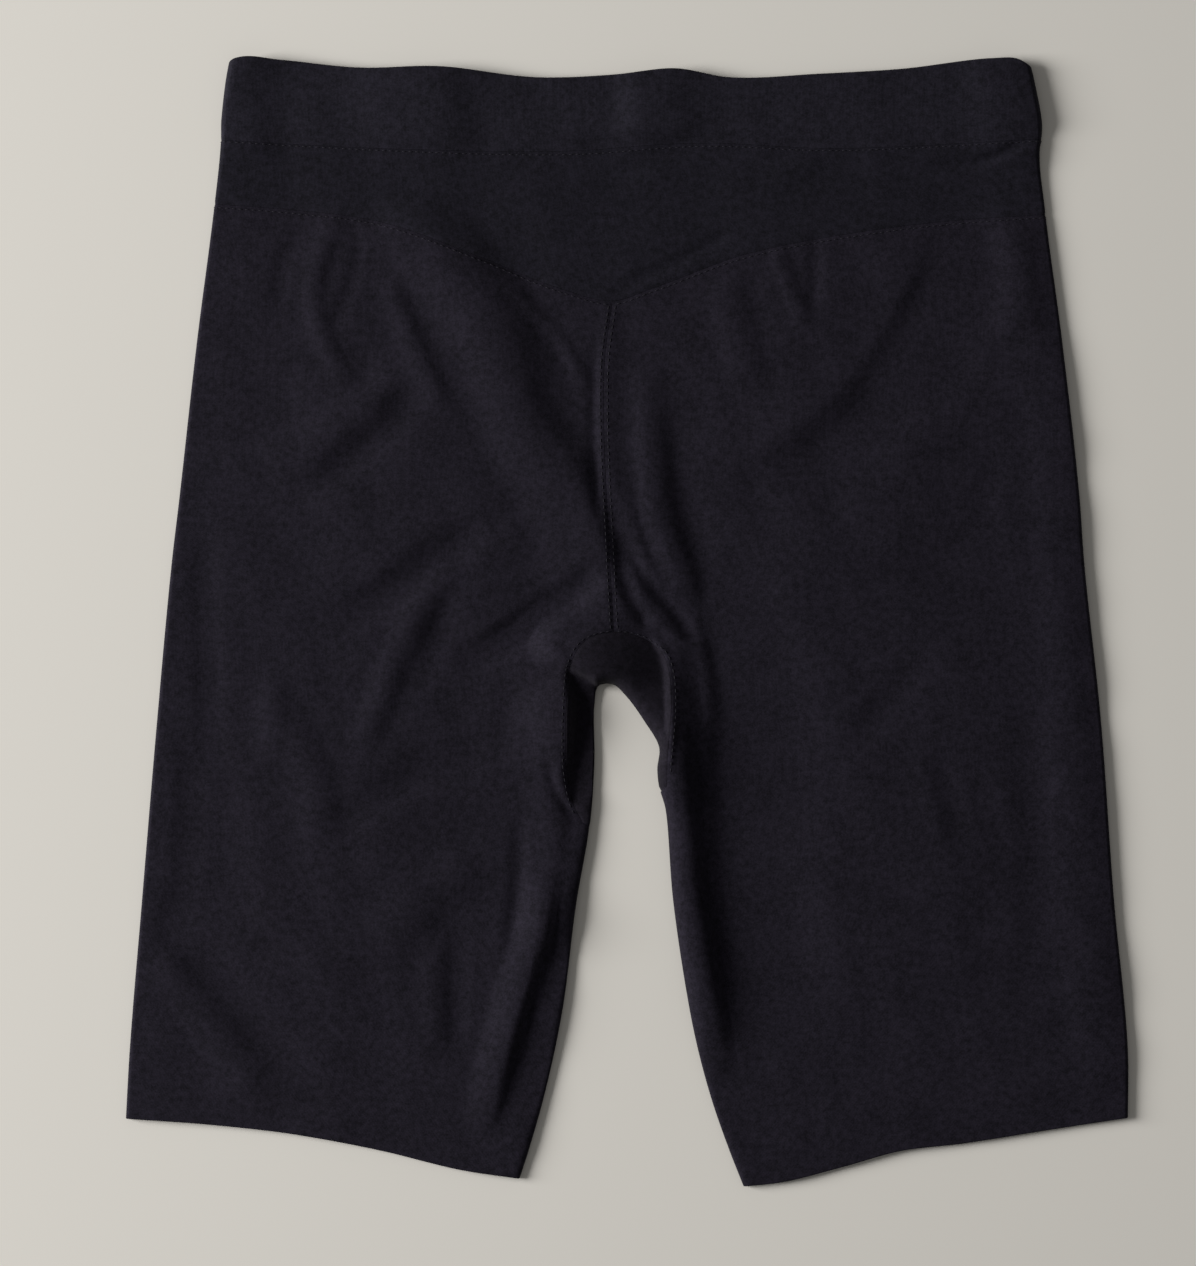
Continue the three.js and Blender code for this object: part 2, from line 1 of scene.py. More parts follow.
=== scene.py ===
"""Training shorts of near-black stretch knit, laid flat with the back up, in metres.

+X is to the right, +Y is towards the waist and +Z is up. The front lies on the surface, and the back
lies on the front. Sizes in the tables are in millimetres: x across, and down from the top of the waist.
"""

import bpy
import numpy as np
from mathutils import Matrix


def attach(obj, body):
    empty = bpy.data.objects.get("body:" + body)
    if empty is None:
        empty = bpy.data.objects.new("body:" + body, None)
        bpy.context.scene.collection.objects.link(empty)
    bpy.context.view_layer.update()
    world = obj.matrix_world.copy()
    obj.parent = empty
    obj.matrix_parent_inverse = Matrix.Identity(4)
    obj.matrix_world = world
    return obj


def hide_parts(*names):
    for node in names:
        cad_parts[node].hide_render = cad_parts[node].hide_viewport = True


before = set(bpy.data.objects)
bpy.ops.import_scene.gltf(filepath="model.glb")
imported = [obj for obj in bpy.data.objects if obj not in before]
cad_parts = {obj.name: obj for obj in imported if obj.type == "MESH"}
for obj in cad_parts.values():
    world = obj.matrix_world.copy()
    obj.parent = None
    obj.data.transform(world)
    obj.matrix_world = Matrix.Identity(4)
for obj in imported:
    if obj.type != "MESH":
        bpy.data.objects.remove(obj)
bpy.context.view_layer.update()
bpy.ops.object.select_all(action="DESELECT")

MM = 0.001
BACK, EDGE, FRONT = 1, 0, -1

# Sizes of the garment.
LENGTH = 507.6  # top of the waist to the lowest hem corner
CLOTH = 0.8  # wall of the knit
BAND_CLOTH = 1.8  # wall of the waistband, doubled knit over elastic
AIR = 1.3  # between the front and the back where they lie flat
LEAST_AIR = 0.4  # between them at the bottom of a trough
SEAM_GAP = 0.1  # between the cut edges of two sewn pieces
SEAM_DIP = 0.2  # how far the cloth is drawn in at a seam
SEAM_WIDTH = 1.7  # and how far beside it
BAND_TAPER = 9.0  # above its lower seam the band thins to the knit over this
BAND_ROUND = 0.9  # how far down from the waist the band's folded top is rounded
BAND_CLOSING = 0.97  # of a full rounding, where the wall closes
HEM_WALL = 0.55  # of the knit's wall, what is left at a cut hem
HEM_REACH = 0.4  # and how far up from the cut the wall is full again
SLACK_LENGTHS = (15, 62)  # shortest and longest wave of the knit's slight unevenness
SLACK_WAVES = 26
SLACK_SLOPE = 0.0016  # rise of a wave, as a share of its length
SLACK_SEED = 4
STITCH_PITCH = 3.0  # from one stitch to the next
STITCH_LENGTH = 2.1
THREAD = 0.2  # radius of the sewing thread

# How the cloth turns at an edge, from the front up to the back.
TIGHTEST = 0.6  # of its wall, the smallest radius of the turn
UNDER_LEAST = 0.6  # the front's turn up to the edge, and how it grows with the back's roll
UNDER_SHARE = 0.15
FRONT_CALM = 14  # the front's creases fade out over this beside an edge

# How a fold with a single rise fades, as shares of its length.
FADE = 0.3
FADE_BEGUN = 0.12  # already risen this far into the fade at its ends

# Where the gusset and the legs end at the gusset's tips, as shares of its seams.
WING_SHARE = 0.96  # the legs are sewn to the gusset as far as here
TIP_SHARE = 0.94  # the gusset is untucked as far as here
TUCK_SHARE = 1.13  # and its tucked tip ends here
EDGE_LEAD = 1.035  # the gusset's rows meet the inner edge a little further on
CLOSING = 3.0  # a leg closes this far past the gusset's tip
TUCK = 1.1  # how deep the gusset's tips are tucked into the legs
TUCK_NARROWING = 0.7  # how much narrower the tip is at its end
TUCK_ROWS = 8

# The heights that the rows are spaced over.
BAND_HEIGHT = 36
YOKE_HEIGHT = 60
SEAT_HEIGHT = 150
INSEAM_HEIGHT = 160
YOKE_SIDE = 68  # down to the yoke's seam at the sides

# How finely the walls are cut into faces.
ROLL_STEPS = 9
UNDER_STEPS = 5
BACK_STEPS = 112
FRONT_STEPS = 36
CROWDING = 1.25  # the back's points are closer towards the middle
ROW_PITCH = 2.0
CLOSE_ROWS = np.array([0.12, 0.35, 0.7, 1.1, 1.6])  # the rows beside a sewn or cut border
SEAM_REACH = 12.0  # the closer points of a row beside a middle seam
EDGE_REACH = 16.0  # and beside a leg's inner edge
MOST_REACH = 0.3  # but never more than this share of the row
GUSSET_ROWS = 48
GUSSET_STEPS = 8
GUSSET_SEAM_REACH = 3  # the closer points beside the gusset's seams
GUSSET_SEAM_STEPS = 4
SEAM_STITCH_ROW = 5  # the row or column of a grid that its stitches follow
BACK_STITCH_COLUMN = 3
FRONT_STITCH_COLUMN = -3
EDGE_SAMPLES = 200
FOLD_SAMPLES = 16
THREAD_SIDES = 6
TINY = 1e-9  # keeps a division from meeting zero
TINIEST = 1e-12
TINY_SHARE = 0.001  # a short step along the inner edge
MIDDLE_ROUNDS = 4  # rounds that settle where a slanted seam meets the middle
SIDE_ROUNDS = 5  # and a side edge
BATCH = 2000  # places worked out together


def table(columns, *rows):
    """A short table: the name of each column with its numbers."""
    return dict(zip(columns.split(), np.array(rows, float).T))


SIDES = table(
    "down left right roll",
    (0, -177.5, 179.5, 2.2),
    (10, -179.4, 182.1, 2.2),
    (37, -182.2, 186, 1.9),
    (41, -182.4, 185.2, 1.9),
    (68, -185.3, 187.5, 1.5),
    (127, -192.9, 195.2, 1.5),
    (199, -201, 203.2, 1.5),
    (226, -204.2, 205.1, 1.5),
    (298, -210.9, 212.7, 1.5),
    (379, -217.7, 218.6, 1.5),
    (446, -223.2, 224.8, 1.5),
    (480, -225.1, 224.8, 1.5),
)

# The inner edge, from the left hem up round the crotch and down to the right hem.
INNER_EDGE = table(
    "x down roll",
    (-48.5, 504, 4),
    (-44.3, 491, 4),
    (-38, 469, 5),
    (-32.6, 446, 6),
    (-28.5, 424, 7),
    (-23.1, 381, 8),
    (-17.3, 347, 8),
    (-15, 318, 7),
    (-15, 291, 6),
    (-13.2, 282.4, 5),
    (-6.4, 281.4, 5),
    (0, 287, 5),
    (8, 298, 5),
    (14.8, 310, 5),
    (14, 320, 5),
    (15, 329, 5),
    (17.5, 338, 6),
    (20.9, 379, 7),
    (27.6, 424, 7),
    (32.1, 446, 6),
    (38.4, 469, 5),
    (46.1, 491, 4),
    (52.6, 507.5, 4),
)
INNER_ROW = {"left tip": 6, "crotch": 10, "right tip": 15}

WAIST = table(
    "x down",
    (-181, 4), (-175, 0.6), (-156, 1.4), (-120, 4.9), (-84, 4.5), (-40, 9.2), (-3, 7.8),
    (22, 5.4), (46, 9.2), (87, 7.6), (123, 5.4), (165, 0.7), (176, 1.2), (183, 6),
)
BAND_SEAM = table(
    "x down",
    (-183, 37.4), (-102, 41.4), (-30, 42.3), (33, 38.6), (91, 41), (187, 36.9),
)
YOKE_BACK = table(
    "x down",
    (-186, 66), (-147, 69), (-111, 74), (-66, 90), (-30, 104), (-6.5, 109.5),
    (12.6, 103.5), (50, 89.6), (84, 82), (138, 74.3), (188, 70.7),
)
YOKE_FRONT = table("x down", (-186, 66), (-90, 76), (0, 80), (90, 78), (188, 70.7))
HEM = {
    "left": table(
        "x down",
        (-226, 477), (-190, 479.5), (-150, 484), (-110, 491.5), (-75, 500), (-48.5, 504),
    ),
    "right": table(
        "x down",
        (52.6, 507.5), (70, 505.5), (96, 499), (123, 491.5), (150, 488.3), (190, 482), (226, 476.5),
    ),
}

# The middle seams, from the waist to the gusset.
MIDDLE = {
    BACK: table(
        "x down",
        (0.5, 0), (0, 42), (-6.5, 109.5), (-9.9, 135), (-10.3, 165), (-8.6, 208), (-5.9, 258.3),
    ),
    FRONT: table("x down", (0, 0), (0, 80), (-3, 160), (-4, 246)),
}

# The gusset's seams, from its top on the middle line to its tip on each leg.
GUSSET_SEAM = {
    ("left", BACK): table(
        "x down",
        (-5.9, 258.3), (-13, 259.6), (-20, 263.5), (-25.4, 273.2), (-27, 289),
        (-27.5, 306), (-27, 322.5), (-24, 336), (-18, 347),
    ),
    ("left", FRONT): table(
        "x down",
        (-4, 246), (-18, 254), (-28, 270), (-33, 292), (-30, 322), (-18, 347),
    ),
    ("right", BACK): table(
        "x down",
        (-5.9, 258.3), (2, 259.3), (10, 262.7), (16.2, 268), (19.2, 277),
        (20, 292), (19, 306), (18, 318), (18, 332),
    ),
    ("right", FRONT): table(
        "x down",
        (-4, 246), (12, 254), (23, 270), (29, 292), (27, 315), (18.6, 332),
    ),
}
SIDE_DOWN = {"gusset top": 205, "gusset tip": 322}


def fold(rise, left, right, *path, crest=2.0):
    """One fold: its rise, its reach on either side of its path, and how soft its crest is.

    The rise is one number, which fades towards both ends, or a number for each point of the path.
    """
    return {"rise": rise, "left": left, "right": right, "path": path, "crest": crest}


BACK_FOLDS = [
    # Swells of the seat and the thighs.
    fold(2.4, 75, 75, (-105, 130), (-80, 235)),
    fold(2.4, 75, 75, (95, 140), (90, 235)),
    fold(2.2, 42, 42, (-9, 170), (-5, 250)),
    fold(1.5, 62, 62, (-115, 290), (-130, 420)),
    fold(1.5, 62, 62, (120, 290), (130, 420)),
    # Left inner leg: a ridge that drops steeply beside the gusset and eases lower down.
    fold((0.6, 1.6, 2.6, 3.0, 2.2, 0.8), 30, 24,
         (-6, 222), (-5, 240), (-4, 253), (-11, 263), (-22, 268), (-32, 274)),
    fold((2.6, 5.2, 6.4, 4.8, 1.4), 6, 29,
         (-30, 276), (-28, 285), (-27.5, 296), (-28, 310), (-30, 326)),
    fold(-2.0, 7, 7, (-19, 284), (-20, 304), (-20, 330)),
    fold((0.6, 1.6, 2.6, 2.0), 12, 16, (-33, 318), (-33, 345), (-33.5, 368), (-37, 392)),
    fold(4.0, 7, 15, (-34, 376), (-38, 395), (-45, 415), (-51, 435), (-61, 474)),
    fold(-0.9, 5, 6, (-48, 345), (-49, 372), (-52, 398)),
    fold(-0.7, 3, 3, (-36, 312), (-32, 330), (-24, 343)),
    fold(0.7, 3, 3, (-31, 318), (-27, 332), (-20, 341)),
    # Gusset: high at the left, it falls away to the right, up to the lip of its seam.
    fold((5.2, 6.2, 6.0, 5.2, 4.4, 3.2, 2.0), 26, 4.5,
         (-31, 270), (-23, 273), (-14, 277.5), (-5, 281), (3, 289), (10, 300), (15, 312)),
    fold((1.8, 3.7, 3.8, 3.2, 2.4, 1.6), 16, 3.4,
         (12, 259), (18, 269), (20, 286), (20, 302), (19.5, 318), (20, 330)),
    fold((0.1, 0.3, 0.5, 0.9, 0.6), 2.4, 2.4, (13, 261), (18, 271), (20, 286), (20, 302), (18.5, 318)),
    # Right inner leg: a rolled strip, a wide hollow beside it and a thin ridge over the hollow.
    fold(3.8, 9, 22,
         (22, 312), (23.5, 334), (25.5, 354), (27.5, 376), (32.5, 408), (39.5, 446), crest=3.5),
    fold(2.2, 24, 14, (21, 292), (24, 330), (26, 354), (29, 380), (34, 410), (41, 446)),
    fold(-2.6, 42, 14, (24, 236), (40, 256), (49, 280), (48, 310), (47, 340), (49, 380), (54, 430)),
    fold((0.8, 1.8, 2.1, 2.2, 1.6, 0.4), 13, 9,
         (9, 146), (10, 178), (13, 203), (20, 223), (26, 238), (30, 248)),
    fold((-0.2, -0.5, -0.8, -1.2, -1.5, -1.2, -0.5), 12, 8,
         (22, 166), (24, 190), (27, 208), (33, 226), (39, 243), (43, 262), (45, 292)),
    fold(0.2, 3.5, 3.5, (29, 250), (33, 262), (35, 280), (36, 300)),
    fold((0.4, 1.0, 1.1, 0.7, 0.2), 26, 9, (31, 240), (34, 262), (36, 282), (37, 300), (36, 320)),
    fold(-1.3, 5, 4.5, (-4, 214), (-2, 234), (3, 246), (11, 257), (21, 266)),
    fold(-1.5, 5, 4.5, (1, 222), (10, 237), (20, 248), (29, 261)),
    # Middle seam of the back.
    fold(0.6, 9, 4.5, (-8, 110), (-10, 136), (-10.4, 166), (-9, 200)),
    fold(-0.9, 3, 4.5, (-14.5, 132), (-14.6, 170), (-13, 207)),
    fold(-0.3, 3.5, 3.5, (-8, 206), (-6.4, 232), (-5.6, 254)),
    # Left seat.
    fold((2.0, 4.0, 4.4, 4.2, 3.8, 3.0, 1.0), 24, 26,
         (-92, 80), (-72, 102), (-58, 127), (-50, 148), (-41, 171), (-30, 190), (-14, 214)),
    fold((-0.3, -0.9, -1.5, -1.6, -0.6), 8, 9, (-38, 150), (-18, 178), (-9, 200), (-1, 222), (2, 238)),
    fold(0.7, 5, 5, (-54, 102), (-30, 127), (-20, 145)),
    fold(-3.0, 10, 10, (-13, 232), (-20, 238), (-36, 249), (-54, 262), (-70, 270)),
    fold(-0.6, 5, 5, (-125, 69), (-120.5, 90), (-128, 112), (-131, 122)),
    fold(-0.7, 6, 6, (-147, 78), (-155, 95), (-156, 112)),
    fold(1.1, 7, 8, (-132, 73), (-141, 104), (-139, 120), (-130, 141)),
    fold(1.0, 7, 9, (-107, 98), (-98, 122), (-89, 143), (-82, 158)),
    fold(-0.9, 10, 10, (-118, 138), (-116, 148)),
    fold(1.8, 17, 17, (-162, 186), (-136, 173), (-106, 156)),
    fold(-1.5, 11, 11, (-136, 189), (-109, 167), (-95, 150)),
    fold(-2.0, 12, 12, (-62, 212), (-75, 218), (-96, 233), (-110, 243), (-126, 252)),
    fold(1.5, 9, 10, (-82, 232), (-100, 262), (-110, 288), (-117, 306)),
    fold(-0.7, 8, 8, (-80, 251), (-93, 279)),
    # Left thigh.
    fold(-1.1, 12, 12, (-62, 313), (-85, 319), (-132, 345)),
    fold(1.1, 16, 16, (-66, 358), (-113, 398)),
    fold(-0.8, 7, 7, (-76, 396), (-76, 442)),
    fold(0.7, 8, 8, (-87, 400), (-87, 444)),
    fold(1.1, 13, 13, (-156, 294), (-141, 326), (-138, 352)),
    fold(0.8, 10, 10, (-159, 277), (-161, 318)),
    fold(-0.8, 12, 12, (-207, 385), (-179, 418), (-143, 465)),
    fold(1.0, 12, 12, (-214, 400), (-190, 432), (-164, 467)),
    fold(-1.0, 9, 9, (-190, 216), (-187, 316)),
    fold(-0.8, 10, 10, (-196, 310), (-199, 374), (-211, 406)),
    # Right seat.
    fold(-3.2, 36, 16, (146, 76), (146, 94), (134, 118), (112, 154), (92, 172), (64, 192)),
    fold(1.3, 12, 12, (45, 96), (49, 122), (55, 147)),
    fold(0.9, 6, 6, (66, 84), (73, 103), (80, 121)),
    fold(-0.9, 5, 5, (85, 79), (84, 112)),
    fold(1.4, 16, 16, (170, 75), (178, 126)),
    fold(-0.9, 9, 9, (167, 184), (158, 202)),
    # Right thigh.
    fold(-0.8, 10, 10, (131, 274), (102, 309)),
    fold(-0.8, 9, 9, (141, 316), (150, 354)),
    fold(1.2, 18, 18, (190, 120), (198, 240), (207, 380), (211, 452)),
    fold(-0.7, 12, 12, (181, 289), (183, 350), (182, 424)),
    # Waistband and yoke.
    fold(2.2, 30, 14, (-177, -6), (-181, 48)),
    fold(2.2, 28, 46, (-86, -6), (-88, 44)),
    fold(2.4, 40, 15, (7, -6), (6, 38)),
    fold(1.5, 26, 26, (168, -6), (174, 52)),
    fold(-1.6, 4, 4, (138, 48.5), (155, 48), (168, 43.5), (178, 39)),
    fold(-0.9, 8, 8, (-4, 53), (15, 44), (33, 38)),
    fold(0.9, 9, 9, (65, 54), (87, 45)),
    fold(-1.2, 3.5, 3.5, (-5, 105), (16, 95), (36.5, 84.5), (44, 80)),
]

# The front is creased in a like way, only more gently, because it carries the weight.
FRONT_FOLDS = [
    fold(1.0, 16, 16, (-150, 110), (-95, 160), (-50, 232)),
    fold(0.9, 14, 14, (140, 105), (100, 150), (52, 225)),
    fold(0.9, 12, 12, (-60, 110), (-30, 170), (-12, 225)),
    fold(0.8, 12, 12, (58, 112), (30, 168), (10, 228)),
    fold(0.8, 13, 13, (-64, 290), (-105, 300), (-150, 330)),
    fold(0.8, 13, 13, (60, 292), (104, 306), (150, 338)),
    fold(0.9, 14, 14, (-60, 350), (-75, 405), (-88, 452)),
    fold(0.8, 14, 14, (66, 350), (84, 402), (96, 456)),
    fold(0.7, 12, 12, (-150, 380), (-172, 430)),
    fold(0.7, 12, 12, (152, 372), (170, 428)),
    fold(0.6, 12, 12, (-80, 20), (-84, 60)),
    fold(0.6, 12, 12, (76, 18), (84, 62)),
]


def along(rows, key, column, place):
    """Smooth cubic through a table's rows, at places along one column."""
    keys, values = rows[key], rows[column]
    chord = np.diff(values) / np.diff(keys)
    slope = np.concatenate([chord[:1], (chord[1:] + chord[:-1]) / 2, chord[-1:]])
    i = np.clip(np.searchsorted(keys, place) - 1, 0, len(keys) - 2)
    step = keys[i + 1] - keys[i]
    t = np.clip((place - keys[i]) / step, 0, 1)
    rise = values[i + 1] - values[i]
    bend = t * (1 - t) * ((slope[i] * step - rise) * (1 - t) - (slope[i + 1] * step - rise) * t)
    return values[i] + rise * t + bend


def line_down(rows, x):
    return along(rows, "x", "down", x)


def side_x(side, down):
    return along(SIDES, "down", side, down)


def smooth(points, shares):
    """A smooth curve through points, at shares of it from 0 to 1."""
    p = np.asarray(points, float)
    p = np.vstack([2 * p[0] - p[1], p, 2 * p[-1] - p[-2]])
    gap = np.sqrt(np.linalg.norm(np.diff(p, axis=0), axis=1))[:, None]
    spot = np.clip(np.atleast_1d(shares), 0, 1) * (len(p) - 3)
    i = np.minimum(spot.astype(int), len(p) - 4)
    t = (spot - i)[:, None]
    a, b, c, d = (p[i + k] for k in range(4))
    ga, gb, gc = (gap[i + k] for k in range(3))
    start = gb * ((b - a) / ga - (c - a) / (ga + gb) + (c - b) / gb)
    end = gb * ((c - b) / gb - (d - b) / (gb + gc) + (d - c) / gc)
    return b + start * t + (3 * (c - b) - 2 * start - end) * t**2 + (2 * (b - c) + start + end) * t**3


def plan_curve(rows, shares):
    roll = rows.get("roll", np.zeros(len(rows["x"])))
    return smooth(np.stack([rows["x"], rows["down"], roll], axis=1), shares)


def inner_share(name):
    return INNER_ROW[name] / (len(INNER_EDGE["x"]) - 1)


def side_run(side):
    down = np.linspace(0, LENGTH, EDGE_SAMPLES + 1)
    return np.stack([side_x(side, down), down, along(SIDES, "down", "roll", down)], axis=1)


INNER_RUN = plan_curve(INNER_EDGE, np.linspace(0, 1, EDGE_SAMPLES + 1))
EDGE_RUNS = [(side_run("left"), -1), (side_run("right"), 1), (INNER_RUN, -1)]
EDGE_START = np.vstack([run[:-1] for run, _ in EDGE_RUNS])
EDGE_STEP = np.vstack([np.diff(run, axis=0) for run, _ in EDGE_RUNS])
EDGE_INWARD = np.concatenate([np.full(len(run) - 1, inward) for run, inward in EDGE_RUNS])


def nearest_edge(x, down):
    """The nearest edge's distance, its roll, and the way from it into the cloth."""
    places = np.stack([np.ravel(x), np.ravel(down)], axis=1)
    size = np.linalg.norm(EDGE_STEP[:, :2], axis=1)
    found = []
    for some in np.array_split(places, len(places) // BATCH + 1):
        away = some[:, None, :] - EDGE_START[None, :, :2]
        share = np.clip((away * EDGE_STEP[None, :, :2]).sum(axis=2) / size**2, 0, 1)
        distances = np.linalg.norm(away - EDGE_STEP[None, :, :2] * share[:, :, None], axis=2)
        k = distances.argmin(axis=1)
        row = np.arange(len(some))
        turn = EDGE_INWARD[k] / size[k]
        roll = EDGE_START[k, 2] + EDGE_STEP[k, 2] * share[row, k]
        found.append([distances[row, k], roll, -EDGE_STEP[k, 1] * turn, EDGE_STEP[k, 0] * turn])
    return [np.concatenate(column).reshape(np.shape(x)) for column in zip(*found)]


def fold_height(one, x, down):
    """A fold's height: a smooth bell across it that fades out towards both of its ends."""
    line = smooth(one["path"], np.linspace(0, 1, FOLD_SAMPLES + 1))
    reach = max(one["left"], one["right"])
    low, high = line.min(axis=0) - reach, line.max(axis=0) + reach
    height = np.zeros(np.shape(x))
    near = (x > low[0]) & (x < high[0]) & (down > low[1]) & (down < high[1])
    if not near.any():
        return height
    places = np.stack([x[near], down[near]], axis=1)
    least = np.full(len(places), np.inf)
    share = np.zeros(len(places))
    side = np.zeros(len(places))
    for i, (start, step) in enumerate(zip(line[:-1], np.diff(line, axis=0))):
        away = places - start
        held = np.clip(away @ step / (step @ step), 0, 1)
        distance = np.linalg.norm(away - step * held[:, None], axis=1)
        closer = distance < least
        turned = (away[:, 0] * step[1] - away[:, 1] * step[0]) / np.linalg.norm(step)
        least = np.where(closer, distance, least)
        share = np.where(closer, (i + held) / FOLD_SAMPLES, share)
        side = np.where(closer, turned / np.maximum(distance, TINY), side)
    reach = one["right"] + (one["left"] - one["right"]) * (1 + side) / 2
    across = (1 - np.minimum(1, least / reach) ** one["crest"]) ** 2
    if np.ndim(one["rise"]) == 0:
        rise = one["rise"] * soft_step((np.minimum(share, 1 - share) + FADE_BEGUN) / FADE)
    else:
        spots = np.linspace(0, 1, FOLD_SAMPLES + 1)
        rises = smooth(list(enumerate(one["rise"])), spots)[:, 1]
        rise = np.interp(share, spots, rises)
    height[near] = rise * across
    return height


def soft_step(t):
    t = np.clip(t, 0, 1)
    return t * t * (3 - 2 * t)


def slack(x, down):
    """The slight unevenness of knit that nobody has smoothed, as soft waves in many directions."""
    pick = np.random.default_rng(SLACK_SEED)
    height = np.zeros(np.shape(x))
    for length in np.linspace(*SLACK_LENGTHS, SLACK_WAVES):
        turn, start = pick.uniform(0, 2 * np.pi, 2)
        run = x * np.cos(turn) + down * np.sin(turn)
        height += SLACK_SLOPE * length * np.sin(2 * np.pi * run / length + start)
    return height


def back_height(x, down, wall):
    """How high the middle of the back's cloth lies, away from the edges."""
    least = 1.5 * wall + LEAST_AIR
    over = AIR - LEAST_AIR + slack(x, down) + sum(fold_height(one, x, down) for one in BACK_FOLDS)
    return least + (over + np.hypot(over, AIR - LEAST_AIR)) / 2


def place(x, down, layer, wall):
    """The point of the cloth's middle at a place on the back, the front or an edge."""
    distance, roll, away_x, away_down = nearest_edge(x, down)
    under = UNDER_LEAST + UNDER_SHARE * roll
    equator = wall / 2 + under
    short = np.maximum(0, roll - distance)
    shoulder = back_height(x + away_x * short, down + away_down * short, wall)
    back_roll = np.minimum(roll, (shoulder - equator) ** 2 / (TIGHTEST * wall))
    turned = 1 - np.minimum(1, distance / np.where(layer == FRONT, under, back_roll))
    lift = np.sqrt(1 - turned**2)
    room = np.maximum(0, shoulder - 1.5 * wall - LEAST_AIR)
    crease = np.minimum(sum(fold_height(one, x, down) for one in FRONT_FOLDS), room)
    inside = soft_step(distance / FRONT_CALM)
    z = np.select(
        [layer == BACK, layer == FRONT],
        [equator + (shoulder - equator) * lift, wall / 2 + under * (1 - lift) + crease * inside],
        equator,
    )
    return np.stack([x, LENGTH / 2 - down, z], axis=-1)


def shares(length, head, head_steps, tail, tail_steps, steps, crowding=1.0):
    """Shares along a line, from 0 to 1, with closer steps over a roll at each end."""
    first = min(head / length, MOST_REACH)
    last = min(tail / length, MOST_REACH)
    turn_in = 1 - np.cos(np.arange(head_steps) / head_steps * np.pi / 2)
    turn_out = 1 - np.cos(np.arange(tail_steps) / tail_steps * np.pi / 2)
    middle = first + (1 - first - last) * np.linspace(0, 1, steps + 1) ** crowding
    return np.concatenate([first * turn_in, middle, (1 - last * turn_out)[::-1]])


def spaced(length, close_start, close_end):
    """Shares down a piece: an even pitch, and close rows beside a sewn or cut border."""
    start = CLOSE_ROWS if close_start else CLOSE_ROWS[:0]
    end = (length - CLOSE_ROWS[::-1]) if close_end else CLOSE_ROWS[:0]
    low = start[-1] if close_start else 0
    high = end[0] if close_end else length
    even = np.linspace(low, high, max(2, round((high - low) / ROW_PITCH) + 1))
    return np.unique(np.concatenate([[0], start, even, end, [length]])) / length


def apart(a, b):
    return float(np.hypot(a[0] - b[0], a[1] - b[1]))


def roll_at(p):
    return float(nearest_edge(np.array([p[0]]), np.array([p[1]]))[1][0])


def under_at(p):
    return UNDER_LEAST + UNDER_SHARE * roll_at(p)


def half_row(back, front, outer, back_line, front_line, closed=False):
    """One side's half of a row: from its inner end on the back, out over the side edge, to the front."""
    head = EDGE_REACH if closed else SEAM_REACH
    back_shares = shares(
        apart(back, outer), head, ROLL_STEPS, roll_at(outer), ROLL_STEPS, BACK_STEPS, CROWDING
    )
    front_shares = shares(
        apart(front, outer), under_at(front) if closed else SEAM_REACH, UNDER_STEPS,
        under_at(outer), UNDER_STEPS, FRONT_STEPS,
    )[:-1][::-1]
    back_x = back[0] + (outer[0] - back[0]) * back_shares
    front_x = front[0] + (outer[0] - front[0]) * front_shares
    row = {
        "x": np.concatenate([back_x, front_x]),
        "down": np.concatenate([back_line(back_shares, back_x), front_line(front_shares, front_x)]),
        "layer": np.concatenate([np.full(len(back_x), BACK), np.full(len(front_x), FRONT)]),
    }
    row["layer"][len(back_x) - 1] = EDGE
    if closed:
        row["layer"][[0, -1]] = EDGE
    return row


def joined(left, right):
    """Two halves of a row as one, from the front's middle round the left side and on round the right."""
    return {name: np.concatenate([left[name][::-1], right[name][1:]]) for name in left}


def band_half(side, share, top, low):
    """Half a row of the waistband or the yoke, a share of the way between two lines on each layer."""

    def down_at(layer, x):
        return (1 - share) * line_down(top[layer], x) + share * line_down(low[layer], x)

    def middle(layer):
        x = 0.0
        for _ in range(MIDDLE_ROUNDS):
            x = float(along(MIDDLE[layer], "down", "x", down_at(layer, x)))
        return x, float(down_at(layer, x))

    x = SIDES[side][0]
    for _ in range(SIDE_ROUNDS):
        x = float(side_x(side, down_at(BACK, x)))
    return half_row(
        middle(BACK), middle(FRONT), (x, float(down_at(BACK, x))),
        lambda _, at: down_at(BACK, at), lambda _, at: down_at(FRONT, at),
    )


def loop_rows(row_shares, top, low):
    return [joined(band_half("left", s, top, low), band_half("right", s, top, low)) for s in row_shares]


def seam_share(end):
    return np.minimum(WING_SHARE * np.arange(GUSSET_ROWS + 1) / GUSSET_ROWS, end)


def wing_share(side, share):
    return inner_share("crotch") + (inner_share(f"{side} tip") - inner_share("crotch")) * share


def closed_share(side):
    """The inner edge's share where the leg is closed, a little past the gusset's tip."""
    tip = wing_share(side, WING_SHARE)
    step = -TINY_SHARE if side == "left" else TINY_SHARE
    a, b = plan_curve(INNER_EDGE, np.array([tip, tip + step]))
    return tip + step * CLOSING / np.linalg.norm(b - a)


def inner_ends(side, layer, seat_shares, leg_shares):
    """A leg's inner ends on one layer: down the middle seam, the gusset's seam and the inner edge."""
    middle = MIDDLE[layer]
    yoke = YOKE_BACK if layer == BACK else YOKE_FRONT
    top = line_down(yoke, middle["x"][2])
    seat = top + (middle["down"][-1] - top) * seat_shares[:-1]
    seat_x = along(middle, "down", "x", seat)
    seam = plan_curve(GUSSET_SEAM[side, layer], seam_share(WING_SHARE))
    end = 0 if side == "left" else 1
    start = closed_share(side)
    inner = plan_curve(INNER_EDGE, start + (end - start) * leg_shares)
    return np.vstack([np.stack([seat_x, seat], axis=1), seam[:, :2], inner[:, :2]])


